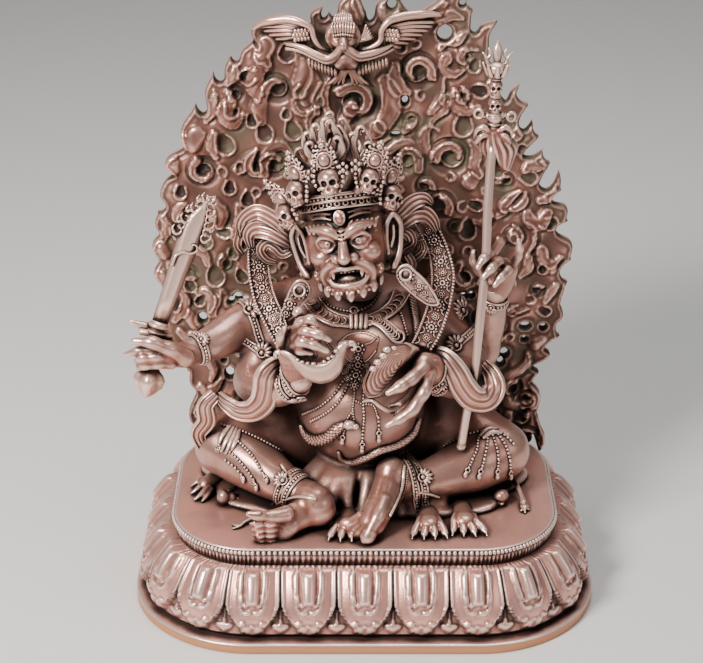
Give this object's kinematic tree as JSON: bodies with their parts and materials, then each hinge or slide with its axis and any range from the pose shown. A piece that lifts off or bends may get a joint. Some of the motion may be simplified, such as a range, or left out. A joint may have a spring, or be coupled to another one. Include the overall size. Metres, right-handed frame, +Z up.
{
  "type": "mahakala figure",
  "caption": "Cast copper statuette of a seated wrathful guardian with sword, curved knife, skull bowl and trident staff, on a lotus plinth in front of a flame aureole.",
  "frame": {"origin": "centre of the plinth's underside", "axes": "+Z up, -Y towards the viewer that the figure faces, +X to the viewer's right"},
  "size_m": [0.253, 0.18, 0.3192],
  "materials": {
    "plinth_copper": "antiqued copper, rubbed bright on the petals, dark in the grooves, bare orange copper at the lowest rim",
    "figure_copper": "antiqued copper, satin, rubbed bright on the high places, brown-black in the hollows",
    "aureole_copper": "antiqued copper, darker, rubbed bright along the flame rims"
  },
  "bodies": {
    "root": {"lotus_plinth": "plinth_copper", "mahakala_figure": "figure_copper", "flame_aureole": "aureole_copper", "sword": "figure_copper", "trident_staff": "figure_copper"}
  },
  "joints": []
}
